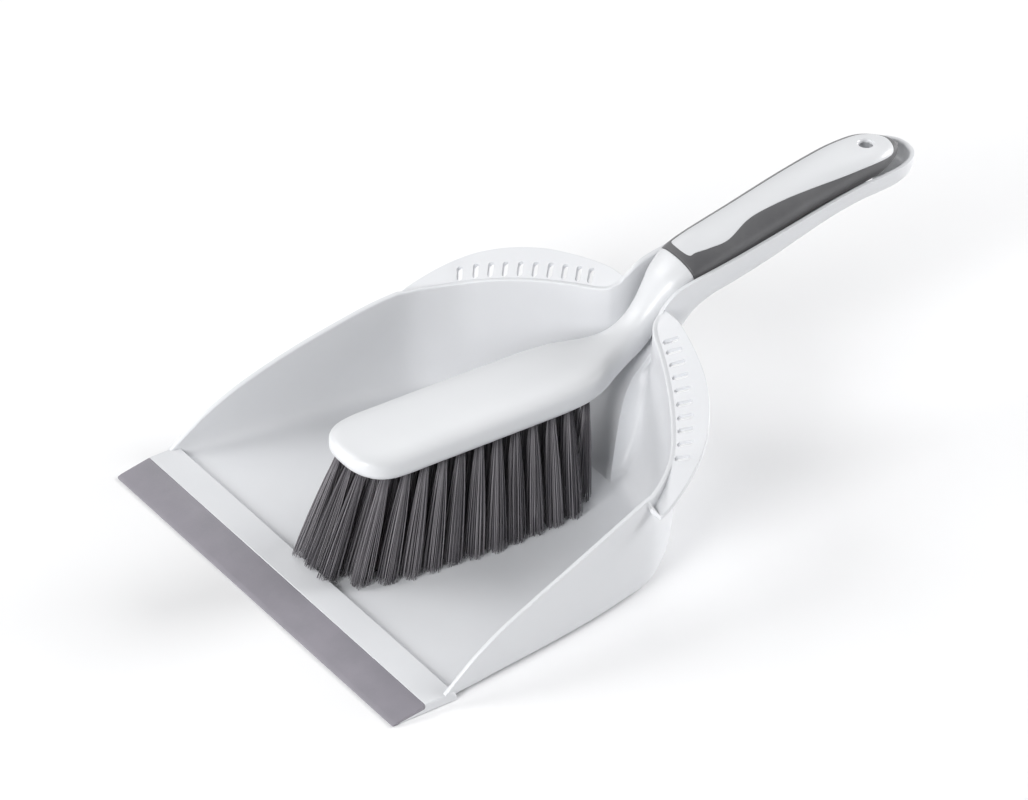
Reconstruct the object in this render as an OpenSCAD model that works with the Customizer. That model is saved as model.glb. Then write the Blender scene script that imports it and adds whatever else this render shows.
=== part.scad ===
// Dust pan and hand brush set. The brush nests in the pan and lifts straight off it.
// Units are millimetres. +X is to the right, +Y runs from the lip to the handles, +Z is up.
// Z = 0 is the surface that the pan lies on. The lengths below count from the lip's front edge.

/* [Pan] */
// Width across the front lip
lip_width = 220; // [214:1:226]
// Thickness of the moulded wall
wall = 2.2; // [1.8:0.1:2.6]
// Depth of the soft lip from its front edge
lip_depth = 17; // [14:0.5:20]
// Height of the lip's back edge
lip_height = 4.7; // [4.2:0.1:5.2]
// Back edge of the raised threshold strip
threshold_back = 32; // [30:0.5:33]
// Cleaning slots in each side of the rear rim
slot_count = 10; // [4:1:11]
// Width of one cleaning slot
slot_width = 2.8; // [2:0.1:3.2]
// Length of one cleaning slot
slot_length = 8; // [6:0.5:8.5]

/* [Brush] */
// Half width of the brush block
block_half_width = 20.5; // [20:0.1:21.5]
// Rows of tufts along the block
row_count = 13; // [8:1:13]
// Distance between rows
row_pitch = 9.6; // [8.4:0.1:9.6]
// Radius of a tuft at its root
tuft_root_r = 1.9; // [1.6:0.1:2.1]
// Radius of a tuft at its tip
tuft_tip_r = 3.8; // [3:0.1:4]
// Depth of a tuft hole in the block
hole_depth = 6; // [4:0.5:6.5]
// Thickness of the soft grip
grip_skin = 1.6; // [1.2:0.1:1.8]

/* [Hanging] */
// Diameter of the hanging hole in the brush handle
hang_hole_d = 6.5; // [5:0.5:8]
// Distance of the hanging holes from the lip's front edge
hang_hole_y = 331; // [328:0.5:333]

/* [Hidden] */
$fn = 48;
// The centre of the whole set lies this far behind the lip's front edge.
mid_y = 177.6;
floor_z = wall;
// The rear rim lies in one plane that climbs towards the handle.
rim_slope = 0.535;

PP = "#f1f2f4";
TPE = "#8c8891";
GRIP = "#66686a";
FILAMENT = "#56525a";
STEEL = "#b9bcc0";

row_names = [for (i = [1:row_count]) str("tuft_row_", i < 10 ? "0" : "", i)];

// ---- curves ----

// A smooth curve through rows of control values, read at t = 0 to len - 1.
function mixed(rows, t) =
    let (last = len(rows) - 1,
         i = min(floor(t), last - 1),
         f = t - i,
         a = rows[max(i - 1, 0)],
         b = rows[i],
         c = rows[i + 1],
         d = rows[min(i + 2, last)])
    0.5 * (2 * b + (c - a) * f + (2 * a - 5 * b + 4 * c - d) * f * f
        + (3 * b - a - 3 * c + d) * f * f * f);

function unit2(v) = v / norm(v);

// ---- pan ----

// Right half of the pan's inner rim from the front round to the tip of the handle.
// Each row is rim x, y, z, then foot x, y, z, then how square the wall's foot is.
half = lip_width / 2 - wall;
pan_rows = [
    [half, 27.5, 5, half - 3, 27.5, floor_z, 3],
    [half - 0.6, 36, 11.5, 98, 36, floor_z, 4],
    [half - 1.2, 46, 18.5, 95, 46, floor_z, 5],
    [half - 2.2, 60, 26, 93.6, 60, floor_z, 5],
    [half - 3.4, 76, 32.5, 92, 76, floor_z, 5],
    [half - 5.2, 94, 38.8, 90, 94, floor_z, 5],
    [half - 7.6, 112, 44.5, 87.6, 112, floor_z, 5],
    [half - 10.4, 130, 49.8, 84.4, 128, floor_z, 4.6],
    [93.6, 146, 53.4, 81.6, 143, floor_z, 4.4],
    [87.4, 157.2, 55.5, 76.8, 152.6, floor_z, 4],
    [79.3, 167, 58.4, 69.4, 160, floor_z, 3.6],
    [69, 174.9, 62.5, 60.2, 165.2, floor_z, 3.3],
    [57.2, 182.3, 66.5, 49.6, 168.6, floor_z, 3],
    [44.5, 189, 70.1, 38.6, 171.4, floor_z, 2.8],
    [31.8, 194.8, 73.2, 28.4, 174.4, floor_z, 2.6],
    [22.4, 198.6, 75.2, 20.6, 177.6, floor_z, 2.4],
    [17, 202, 77.1, 15.4, 182, 8, 2.1],
    [14.8, 205.5, 79, 12.4, 187, 24, 1.9],
    [13.8, 209, 81.2, 10.6, 191.6, 37, 1.9],
    [13.4, 212, 83.4, 9.4, 196.4, 44.4, 2],
    [13.3, 215, 85.4, 8.6, 202, 48.8, 2.1],
    [13.3, 218.5, 87, 8, 208.2, 54, 2.3],
    [13.3, 223, 88.2, 7.6, 215, 62.5, 2.5],
    [13.3, 229, 89.2, 7.2, 223, 70.6, 2.7],
    [13.3, 238, 90.4, 6.8, 234, 75.8, 2.8],
    [13.3, 251, 92.4, 6.6, 251, 78.8, 2.8],
    [13.4, 268, 95.6, 6.6, 268, 82.8, 2.8],
    [13.5, 285, 99, 6.6, 285, 88, 2.8],
    [13.7, 302, 102.4, 6.6, 302, 93, 2.8],
    [13.8, 318, 104.8, 6.5, 318, 95.9, 2.8],
    [13.6, 331, 105.6, 6, 331, 96.3, 2.8],
    [12.6, 340, 105.7, 5, 338, 96.4, 2.8],
    [9.6, 347.5, 105.6, 3.6, 341.5, 96.4, 2.8],
    [5.2, 351.6, 105.5, 1.9, 343.2, 96.4, 2.8],
    [0, 352.8, 105.5, 0, 343.6, 96.4, 2.8]
];
pan_steps = 2;
pan_last = (len(pan_rows) - 1) * pan_steps;
profile_last = 8;

function pan_at(s) = mixed(pan_rows, s / pan_steps);
// The rim's outward direction in plan
function rim_out(s) =
    s == 0 ? [1, 0] :
    s == pan_last ? [0, 1] :
    let (a = pan_at(s - 0.25), b = pan_at(s + 0.25), d = unit2([b[0] - a[0], b[1] - a[1]]))
    [d[1], -d[0]];

// How far out and how far up the wall has come at step k, from the foot to the rim
function profile_out(k, p) = pow(sin(90 * k / profile_last), 2 / p);
function profile_up(k, p) = 1 - pow(cos(90 * k / profile_last), 2 / p);

// The foot's downward direction in the y-z plane, square to the floor or to the ridge that rises from it
function foot_down(s) =
    let (a = pan_at(max(s - 0.5, 0)), b = pan_at(min(s + 0.5, pan_last)),
         rise = s == pan_last ? 0 : max(b[5], floor_z) - max(a[5], floor_z),
         d = unit2([max(b[4] - a[4], 0.1), rise]))
    [d[1], -d[0]];

// One section through the wall, as inner points from rim to foot, then outer points from foot to rim
function pan_section(s) =
    let (q = pan_at(s), n = rim_out(s), p = q[6], foot = max(q[5], floor_z),
         low_y = q[4] + wall * foot_down(s)[0], low_z = foot + wall * foot_down(s)[1])
    concat(
        [for (k = [profile_last:-1:0])
            let (h = profile_out(k, p), v = profile_up(k, p))
            [q[3] + (q[0] - q[3]) * h, q[4] + (q[1] - q[4]) * h, foot + (q[2] - foot) * v]],
        [for (k = [0:profile_last])
            let (h = profile_out(k, p), v = profile_up(k, p))
            [q[3] + (q[0] + n[0] * wall - q[3]) * h,
             low_y + (q[1] + n[1] * wall - low_y) * h,
             low_z + (q[2] - low_z) * v]]);

function mirrored(points) = [for (p = points) [-p[0], p[1], p[2]]];

module pan_shell() {
    m = 2 * profile_last + 2;
    foot_in = profile_last;
    foot_out = profile_last + 1;
    total = 2 * pan_last;
    right = [for (s = [0:pan_last]) pan_section(s)];
    rings = concat(right, [for (s = [pan_last - 1:-1:0]) mirrored(right[s])]);
    points = [for (r = rings) each r];
    // the walls, all but the gap that the floor fills
    walls = [for (i = [0:total - 1]) for (j = [0:m - 1]) if (j != foot_in)
        let (a = i * m + j, b = i * m + (j + 1) % m, c = a + m, d = b + m)
        each [[a, b, d], [a, d, c]]];
    // the floor and its underside, strip by strip between the two sides
    floors = [for (i = [0:pan_last - 1])
        let (l = total - i,
             a = i * m + foot_in, b = l * m + foot_in,
             c = (i + 1) * m + foot_in, d = (l - 1) * m + foot_in)
        each i == pan_last - 1
            ? [[a, b, c], [a + 1, c + 1, b + 1]]
            : [[a, d, c], [a, b, d], [a + 1, c + 1, d + 1], [a + 1, d + 1, b + 1]]];
    left0 = total * m;
    front = [[foot_in, left0 + foot_out, left0 + foot_in], [foot_in, foot_out, left0 + foot_out]];
    cap_a = [for (j = [1:profile_last])
        each [[j - 1, m - j, m - j - 1], [j - 1, m - j - 1, j]]];
    cap_b = [for (f = cap_a) [left0 + f[0], left0 + f[2], left0 + f[1]]];
    polyhedron(points, concat(walls, floors, front, cap_a, cap_b), convexity = 10);
}

// Raised strip across the front and the thin tongue that carries the soft lip
module pan_threshold() {
    rotate([90, 0, 90])
        linear_extrude(height = lip_width, center = true)
            polygon([
                [3.5, 0],
                [threshold_back + 1.5, 0],
                [threshold_back + 1.5, wall + 0.1],
                [threshold_back, lip_height + 0.1],
                [lip_depth, lip_height],
                [lip_depth, 2.7],
                [3.5, 0.6]
            ]);
}

// Outer edge of the rear rim, as x and y in plan
rim_edge = [
    [15, 210], [26, 209.6], [38, 207], [51, 203], [63.5, 198], [77, 190], [87.5, 181],
    [94.5, 171.5], [99.4, 161], [102.4, 150], [101.5, 144], [96, 141.5]
];
function edge_at(t) = mixed(rim_edge, t);

// Middle of the wall along the rear rim, as x and y in plan
function inner_at(s) =
    let (q = pan_at(s), n = rim_out(s))
    [q[0] + n[0] * wall / 2, q[1] + n[1] * wall / 2];

rim_first = 7.7 * pan_steps;
rim_final = 16.5 * pan_steps;
tilt = atan(rim_slope);
// The slots lean towards one direction in plan.
slot_way = [0.85, 0.53];
// A point of the plan, measured along the tilted rim
function on_rim(p) = [p[0], (p[1] - 198) / cos(tilt)];

module slot_shape(s) {
    q = pan_at(s);
    n = rim_out(s);
    turned = unit2(0.4 * n + 0.6 * slot_way);
    middle = [q[0], q[1]] + n * (wall + 0.1 + slot_length / 2);
    a = on_rim(middle - turned * slot_length / 2);
    b = on_rim(middle + turned * slot_length / 2);
    d = unit2(b - a);
    translate(a)
        rotate(atan2(d[1], d[0])) {
            translate([slot_width / 2, 0])
                circle(d = slot_width);
            translate([slot_width / 2, -slot_width / 2])
                square([slot_length - slot_width, slot_width]);
            translate([slot_length - slot_width / 2, 0])
                circle(d = slot_width);
        }
}

module rim_half() {
    inner = [for (i = [0:24]) on_rim(inner_at(rim_first + (rim_final - rim_first) * i / 24))];
    outer = [for (i = [0:44]) on_rim(edge_at(i / 4))];
    linear_extrude(height = wall)
        difference() {
            polygon(concat(inner, outer));
            for (i = [0:slot_count - 1])
                slot_shape((9.75 + 4.55 * i / (slot_count - 1)) * pan_steps);
        }
}

// Flat rear rim with its cleaning slots
module pan_rim() {
    translate([0, 198, 74.1 - wall])
        rotate([tilt, 0, 0]) {
            rim_half();
            mirror([1, 0, 0])
                rim_half();
        }
}

module pan_body() {
    color(PP)
        translate([0, -mid_y, 0])
            difference() {
                union() {
                    pan_shell();
                    pan_threshold();
                    pan_rim();
                }
                translate([0, hang_hole_y, 80])
                    cylinder(d = hang_hole_d + 1, h = 40);
            }
}

module pan_lip() {
    color(TPE)
        translate([0, -mid_y, 0])
            rotate([90, 0, 90])
                linear_extrude(height = lip_width, center = true)
                    polygon([
                        [0, 0],
                        [3.5, 0],
                        [3.5, 0.6],
                        [lip_depth, 2.7],
                        [lip_depth, lip_height],
                        [0.8, 1],
                        [0, 0.6]
                    ]);
}

// ---- brush ----

// Spine of the brush: top y, z, bottom y, z, half width, height of the widest line, squareness.
bw = block_half_width;
brush_rows = [
    [47.3, 59.6, 47.3, 55.4, bw - 14.6, 0.5, 2.6],
    [48.4, 61.3, 48.4, 53.6, bw - 10.2, 0.5, 3],
    [51.6, 62.6, 51.6, 51.7, bw - 5.2, 0.5, 3.4],
    [57.4, 63.3, 57.4, 49.7, bw - 1.5, 0.5, 3.6],
    [66.5, 63.5, 66.5, 48.4, bw, 0.5, 3.8],
    [85, 63.3, 85, 47.8, bw, 0.5, 3.8],
    [110, 62.8, 110, 47.2, bw, 0.5, 3.8],
    [135, 62, 135, 46.8, bw, 0.5, 3.8],
    [155, 61.4, 155, 46.4, bw - 0.2, 0.5, 3.8],
    [168, 61.2, 168, 46.4, bw - 1.3, 0.5, 3.6],
    [177, 61.5, 178, 46.9, bw - 4.2, 0.5, 3.2],
    [184, 62.4, 187, 48.2, 12.4, 0.5, 2.8],
    [191, 64.2, 196, 50.2, 9.4, 0.5, 2.6],
    [198, 67.4, 204, 53.4, 8, 0.5, 2.5],
    [204, 72, 210, 58.6, 7.8, 0.5, 2.5],
    [209, 77.8, 215, 64.8, 8.3, 0.52, 2.4],
    [213.5, 84, 219.5, 70.4, 9.6, 0.54, 2.3],
    [218, 89.4, 223.5, 74.4, 11.2, 0.57, 2.2],
    [225.5, 94.9, 230.8, 78.7, 12.5, 0.61, 2.2],
    [231.5, 97.4, 235.8, 80.3, 12.8, 0.63, 2.2],
    [238.5, 99.5, 242, 81.6, 12.8, 0.64, 2.2],
    [248, 101.6, 251, 83, 12.8, 0.66, 2.2],
    [262, 104.6, 263, 85.4, 12.8, 0.67, 2.2],
    [278, 108.3, 278, 89.4, 12.8, 0.67, 2.2],
    [292, 111.4, 292, 93, 12.8, 0.66, 2.2],
    [306, 113.5, 306, 96.2, 13, 0.66, 2.3],
    [318, 114.4, 318, 98.6, 12.8, 0.68, 2.7],
    [330, 114.4, 330, 100.2, 12.2, 0.7, 2.8],
    [336.5, 113.9, 336.5, 101.2, 10.4, 0.68, 2.6],
    [341.6, 112.8, 341.4, 102.6, 7.8, 0.62, 2.3],
    [345.4, 111.2, 345.1, 104.2, 5.1, 0.58, 2.1],
    [347.3, 109.2, 347.1, 106.6, 2.4, 0.5, 2]
];
// Upper edge of the soft grip beside the white inlay, as an angle round the handle.
// There is one angle for each row from the collar back.
inlay_angles = [62, 50, 42, 62, 56, 42, 28, 16, 9, 7, 20];
// The left edge keeps one angle.
inlay_left = 48;
brush_steps = 2;
collar_row = 18;
inlay_first = 18.5;
wave_first = 19;
inlay_last = 29;
ring_n = 32;
inlay_n = 8;

function brush_at(s) = mixed(brush_rows, s / brush_steps);
brush_last = (len(brush_rows) - 1) * brush_steps;
collar = collar_row * brush_steps;
inlay_a = inlay_first * brush_steps;
inlay_b = inlay_last * brush_steps;

// Where the grip's upper edge stands at station s
function inlay_angle(s) =
    let (t = s / brush_steps - wave_first)
    t <= 0 ? inlay_angles[0] :
    t >= len(inlay_angles) - 1 ? inlay_angles[len(inlay_angles) - 1] :
    mixed(inlay_angles, t);

// Angle of ring point k: the first inlay_n steps cross the top, the rest pass under the handle
function ring_angle(s, k) =
    let (e = inlay_angle(s), both = e + inlay_left)
    k <= inlay_n ? e + (180 - both) * k / inlay_n
                 : 180 - inlay_left + (180 + both) * (k - inlay_n) / (ring_n - inlay_n);

function signed_pow(v, p) = sign(v) * pow(abs(v), p);

// Point k of the ring at station s, sunk below the outer skin by depth
function ring_point(s, k, depth) =
    let (q = brush_at(s), phi = ring_angle(s, k),
         top = [0, q[0], q[1]], low = [0, q[2], q[3]],
         mid = low + (top - low) * q[5],
         e = 2 / q[6],
         c = signed_pow(cos(phi), e), v = signed_pow(sin(phi), e),
         up = v > 0 ? top - mid : mid - low,
         reach = norm(up),
         shrunk = max(reach - depth, 0.4) / reach,
         half_w = max(q[4] - depth, 0.4))
    mid + up * v * shrunk + [half_w * c, 0, 0];

function ring(s, depth) = [for (k = [0:ring_n - 1]) ring_point(s, k, depth)];

function ring_quad(a, b, k) =
    let (n = (k + 1) % ring_n)
    [[a + k, a + n, b + n], [a + k, b + n, b + k]];
function fan(first, centre, turned) =
    [for (k = [0:ring_n - 1])
        let (n = (k + 1) % ring_n)
        turned ? [first + n, first + k, centre] : [first + k, first + n, centre]];
function turned(faces) = [for (f = faces) [f[0], f[2], f[1]]];
function in_inlay(s, k) = s >= inlay_a && s < inlay_b && k < inlay_n;

// The white moulding: block, neck and the core of the handle with its raised inlay
module brush_core() {
    skin = [for (s = [0:collar]) each ring(s, 0)];
    core = [for (s = [collar:brush_last]) each ring(s, grip_skin)];
    raised = [for (s = [inlay_a:inlay_b]) each ring(s, 0)];
    core0 = len(skin);
    raised0 = core0 + len(core);
    ends = raised0 + len(raised);
    // index of a ring in the core and in the raised inlay
    function c(s) = core0 + (s - collar) * ring_n;
    function r(s) = raised0 + (s - inlay_a) * ring_n;
    nose = (ring_point(0, 0, 0) + ring_point(0, 16, 0)) / 2 - [0, 0.3, 0];
    tail = brush_at(brush_last);
    faces = concat(
        [for (s = [0:collar - 1]) for (k = [0:ring_n - 1])
            each ring_quad(s * ring_n, (s + 1) * ring_n, k)],
        [for (k = [0:ring_n - 1]) each ring_quad(collar * ring_n, core0, k)],
        [for (s = [collar:brush_last - 1]) for (k = [0:ring_n - 1]) if (!in_inlay(s, k))
            each ring_quad(c(s), c(s + 1), k)],
        [for (s = [inlay_a:inlay_b - 1]) for (k = [0:inlay_n - 1]) each ring_quad(r(s), r(s + 1), k)],
        [for (s = [inlay_a:inlay_b - 1]) each [
            [c(s), r(s), r(s + 1)], [c(s), r(s + 1), c(s + 1)],
            [r(s) + inlay_n, c(s) + inlay_n, c(s + 1) + inlay_n],
            [r(s) + inlay_n, c(s + 1) + inlay_n, r(s + 1) + inlay_n]]],
        [for (k = [0:inlay_n - 1]) each ring_quad(c(inlay_a), r(inlay_a), k)],
        [for (k = [0:inlay_n - 1]) each ring_quad(r(inlay_b), c(inlay_b), k)],
        fan(0, ends, true),
        fan(c(brush_last), ends + 1, false));
    polyhedron(
        concat(skin, core, raised, [[0, nose[1], 57.4], [0, tail[0] + 0.1, (tail[1] + tail[3]) / 2]]),
        faces,
        convexity = 10);
}

// The soft overmould: a sock round the handle, open over the inlay
module grip_sock() {
    outer = [for (s = [collar:brush_last]) each ring(s, 0)];
    inner = [for (s = [collar:brush_last]) each ring(s, grip_skin)];
    inner0 = len(outer);
    ends = 2 * len(outer);
    function o(s) = (s - collar) * ring_n;
    function i(s) = inner0 + (s - collar) * ring_n;
    tail = brush_at(brush_last);
    faces = concat(
        [for (s = [collar:brush_last - 1]) for (k = [0:ring_n - 1]) if (!in_inlay(s, k))
            each ring_quad(o(s), o(s + 1), k)],
        turned([for (s = [collar:brush_last - 1]) for (k = [0:ring_n - 1]) if (!in_inlay(s, k))
            each ring_quad(i(s), i(s + 1), k)]),
        [for (s = [inlay_a:inlay_b - 1]) each [
            [i(s), o(s + 1), o(s)], [i(s), i(s + 1), o(s + 1)],
            [o(s) + inlay_n, o(s + 1) + inlay_n, i(s + 1) + inlay_n],
            [o(s) + inlay_n, i(s + 1) + inlay_n, i(s) + inlay_n]]],
        turned([for (k = [0:inlay_n - 1]) each ring_quad(i(inlay_a), o(inlay_a), k)]),
        turned([for (k = [0:inlay_n - 1]) each ring_quad(o(inlay_b), i(inlay_b), k)]),
        [for (k = [0:ring_n - 1]) each ring_quad(i(collar), o(collar), k)],
        fan(o(brush_last), ends, false),
        fan(i(brush_last), ends + 1, true));
    polyhedron(
        concat(outer, inner, [
            [0, tail[0] + 1.2, (tail[1] + tail[3]) / 2],
            [0, tail[0] + 0.1, (tail[1] + tail[3]) / 2]]),
        faces,
        convexity = 10);
}

// ---- tufts ----

first_row_y = 52.2;
tuft_tip_z = floor_z + 0.7;
// Height of the block's underside above the pan at a given y
function block_low(y) =
    lookup(y,
        [[47, 53.6], [51.6, 51.7], [57.4, 49.7], [66.5, 48.4],
         [85, 47.8], [110, 47.2], [135, 46.8], [168, 46.4]]);

function row_y(i) = first_row_y + (i - 1) * row_pitch;
// Half width of the tuft field at the block, which follows the block's round ends
function root_half(i) =
    lookup(row_y(i), [[50, 8], [54, 8.4], [62, 13.4], [71, 15.6], [152, 15.8], [169, 14.8]]);
// Half width of the tuft field on the floor
function tip_half(i) =
    lookup(row_y(i),
        [[52.2, 10], [61.8, 19.5], [71.4, 24.5], [81, 27], [100, 29.2],
         [119, 31.8], [150, 32], [158, 31], [167.4, 22.5]]);
function row_tufts(i) = root_half(i) < 12 ? 3 : 5;
function share(i, j) = 2 * j / (row_tufts(i) - 1) - 1;
// The whole field sweeps forwards, and its front row rests on the back of the threshold strip.
function sweep(i) = lookup(row_y(i), [[52.2, 19.2], [167.4, 7.8]]);
function tip_y(i) = row_y(i) - sweep(i);
function tip_z(i) = i == 1 ? lip_height + 0.8 : tuft_tip_z;
function root_point(i, j) = [root_half(i) * share(i, j), row_y(i), block_low(row_y(i))];
function tip_point(i, j) = [tip_half(i) * share(i, j), tip_y(i), tip_z(i)];

// Runs its children along the line from p to q, with +Z towards q
module along(p, q) {
    d = q - p;
    translate(p)
        rotate([0, acos(d[2] / norm(d)), atan2(d[1], d[0])])
            children();
}

module tuft(i, j) {
    p = root_point(i, j);
    q = tip_point(i, j);
    up = (p - q) / norm(p - q);
    along(p + up * (hole_depth - 0.6), q) {
        cylinder(r = tuft_root_r, h = hole_depth - 0.5);
        translate([0, 0, hole_depth - 0.5])
            cylinder(r1 = tuft_root_r, r2 = tuft_tip_r, h = norm(q - p) - 1.6);
    }
}

module tuft_row(i) {
    color(FILAMENT)
        translate([0, -mid_y, 0])
            for (j = [0:row_tufts(i) - 1])
                tuft(i, j);
}

module tuft_holes() {
    for (i = [1:row_count], j = [0:row_tufts(i) - 1]) {
        p = root_point(i, j);
        q = tip_point(i, j);
        up = (p - q) / norm(p - q);
        along(p + up * hole_depth, q)
            cylinder(r = tuft_root_r, h = hole_depth + 3);
    }
}

// Flat steel staples that pin the folded tufts at the bottom of their holes
module tuft_staples() {
    color(STEEL)
        translate([0, -mid_y, 0])
            for (i = [1:row_count], j = [0:row_tufts(i) - 1]) {
                p = root_point(i, j);
                q = tip_point(i, j);
                up = (p - q) / norm(p - q);
                along(p + up * hole_depth, q)
                    translate([-1.4, -0.2, 0])
                        cube([2.8, 0.4, 0.55]);
            }
}

module hang_bore(extra) {
    translate([0, hang_hole_y, 90])
        cylinder(d = hang_hole_d + extra, h = 40);
}

module brush_body() {
    color(PP)
        translate([0, -mid_y, 0])
            difference() {
                brush_core();
                tuft_holes();
                hang_bore(0);
            }
}

module brush_grip() {
    color(GRIP)
        translate([0, -mid_y, 0])
            difference() {
                grip_sock();
                hang_bore(0.8);
            }
}

pan_body();
pan_lip();
brush_body();
brush_grip();
tuft_staples();
for (i = [1:row_count])
    tuft_row(i);
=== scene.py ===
import math

import bmesh
import bpy
import numpy as np
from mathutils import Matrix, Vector


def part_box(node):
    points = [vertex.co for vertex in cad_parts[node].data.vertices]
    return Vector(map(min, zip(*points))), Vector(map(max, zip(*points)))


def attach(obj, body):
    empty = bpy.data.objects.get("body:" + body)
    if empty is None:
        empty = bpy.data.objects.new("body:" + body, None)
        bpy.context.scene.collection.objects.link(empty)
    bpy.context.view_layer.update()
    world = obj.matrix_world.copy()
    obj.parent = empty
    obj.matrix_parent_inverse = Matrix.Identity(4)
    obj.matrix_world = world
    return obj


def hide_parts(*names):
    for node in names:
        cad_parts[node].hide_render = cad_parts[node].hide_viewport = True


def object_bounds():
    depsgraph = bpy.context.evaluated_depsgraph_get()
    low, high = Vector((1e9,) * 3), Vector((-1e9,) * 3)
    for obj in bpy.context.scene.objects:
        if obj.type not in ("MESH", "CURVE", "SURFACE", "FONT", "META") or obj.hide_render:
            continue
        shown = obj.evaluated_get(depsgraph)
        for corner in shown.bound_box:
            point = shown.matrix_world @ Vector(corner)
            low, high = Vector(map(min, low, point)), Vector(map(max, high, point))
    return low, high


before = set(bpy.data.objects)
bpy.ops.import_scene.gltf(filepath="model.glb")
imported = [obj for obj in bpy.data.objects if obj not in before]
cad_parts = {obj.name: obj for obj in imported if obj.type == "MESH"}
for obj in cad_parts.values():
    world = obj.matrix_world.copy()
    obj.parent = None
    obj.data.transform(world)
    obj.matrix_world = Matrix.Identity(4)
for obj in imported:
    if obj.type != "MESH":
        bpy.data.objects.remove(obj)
cad_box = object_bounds()

# Shapes are worked out in millimetres from the lip's front edge, and placed in metres in the part's frame.
MM = 0.001
LIP_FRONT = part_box("pan_lip")[0].y
WALL = 2.2
FLOOR_Z = WALL
LIP_WIDTH = 2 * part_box("pan_lip")[1].x / MM
LIP_DEPTH = 17
LIP_HEIGHT = 4.7
HANG_HOLE_Y = 331
HANG_HOLE_R, PAN_HOLE_R = 3.25, 3.75
rng = np.random.default_rng(104)


# ---- small tools ----

def placed(points):
    """Millimetres from the lip's front edge to metres in the part's frame."""
    p = np.asarray(points, float) * MM
    return p + np.array([0.0, LIP_FRONT, 0.0])


def mixed(rows, t):
    """A smooth curve through rows of control values, read at t = 0 to len - 1."""
    rows = np.asarray(rows, float)
    t = np.atleast_1d(np.asarray(t, float))
    last = len(rows) - 1
    i = np.clip(np.floor(t).astype(int), 0, last - 1)
    f = (t - i)[:, None]
    a, b = rows[np.maximum(i - 1, 0)], rows[i]
    c, d = rows[i + 1], rows[np.minimum(i + 2, last)]
    return 0.5 * (2 * b + (c - a) * f + (2 * a - 5 * b + 4 * c - d) * f ** 2
                  + (3 * b - a - 3 * c + d) * f ** 3)


def unit(v):
    return v / np.maximum(np.linalg.norm(v, axis=-1, keepdims=True), 1e-9)


def new_mesh(name, points, faces, merge=1e-7, sharp_deg=40):
    """A mesh object from millimetre points, welded, with normals outward and edges sharp above an angle."""
    mesh = bpy.data.meshes.new(name)
    mesh.from_pydata(placed(points).tolist(), [], faces)
    obj = bpy.data.objects.new(name, mesh)
    bpy.context.scene.collection.objects.link(obj)
    clean(obj, merge, sharp_deg)
    return obj


def clean(obj, merge=1e-7, sharp_deg=40):
    bm = bmesh.new()
    bm.from_mesh(obj.data)
    bmesh.ops.remove_doubles(bm, verts=bm.verts, dist=merge)
    bmesh.ops.dissolve_degenerate(bm, edges=bm.edges, dist=merge)
    bmesh.ops.recalc_face_normals(bm, faces=bm.faces)
    limit = math.radians(sharp_deg)
    for f in bm.faces:
        f.smooth = True
    for e in bm.edges:
        e.smooth = not (e.is_manifold and e.calc_face_angle(0) > limit)
    bm.to_mesh(obj.data)
    bm.free()


def grid_faces(rows, cols, first=0, wrap=False):
    """Quads of a grid of points, row by row; wrap joins the last column to the first."""
    faces = []
    for i in range(rows - 1):
        for j in range(cols if wrap else cols - 1):
            a, b = first + i * cols + j, first + i * cols + (j + 1) % cols
            faces.append((a, b, b + cols, a + cols))
    return faces


def boolean(obj, cutters, operation):
    """Applies exact booleans, removes the cutters and keeps flat faces shaded flat."""
    for c in cutters:
        m = obj.modifiers.new(operation, "BOOLEAN")
        m.operation, m.object, m.solver = operation, c, "EXACT"
    bpy.context.view_layer.update()
    evaluated = obj.evaluated_get(bpy.context.evaluated_depsgraph_get())
    made = bpy.data.meshes.new_from_object(evaluated)
    obj.modifiers.clear()
    obj.data = made
    for c in cutters:
        bpy.data.objects.remove(c)
    clean(obj, 2e-7, 35)
    keep_flats = obj.modifiers.new("flats", "WEIGHTED_NORMAL")
    keep_flats.keep_sharp = True


def joined(obj, other):
    """Adds the other object's mesh to obj as an island of its own, and removes the other object."""
    bm = bmesh.new()
    bm.from_mesh(obj.data)
    bm.from_mesh(other.data)
    bm.to_mesh(obj.data)
    bm.free()
    bpy.data.objects.remove(other)
    return obj


def rounded(corners, radii, steps):
    """Sections with their corners turned into short curves. A corner is an array, a point per section."""
    out = []
    for k, p in enumerate(corners):
        r = radii[k]
        if r == 0 or k in (0, len(corners) - 1):
            out.append(p)
            continue
        a, b = corners[k - 1] - p, corners[k + 1] - p
        la = np.linalg.norm(a, axis=1, keepdims=True)
        lb = np.linalg.norm(b, axis=1, keepdims=True)
        pa = p + a * np.minimum(r / np.maximum(la, 1e-6), 0.45)
        pb = p + b * np.minimum(r / np.maximum(lb, 1e-6), 0.45)
        for f in np.linspace(0, 1, steps):
            out.append((1 - f) ** 2 * pa + 2 * f * (1 - f) * p + f ** 2 * pb)
    return out


# ---- pan ----

HALF = LIP_WIDTH / 2 - WALL
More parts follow.
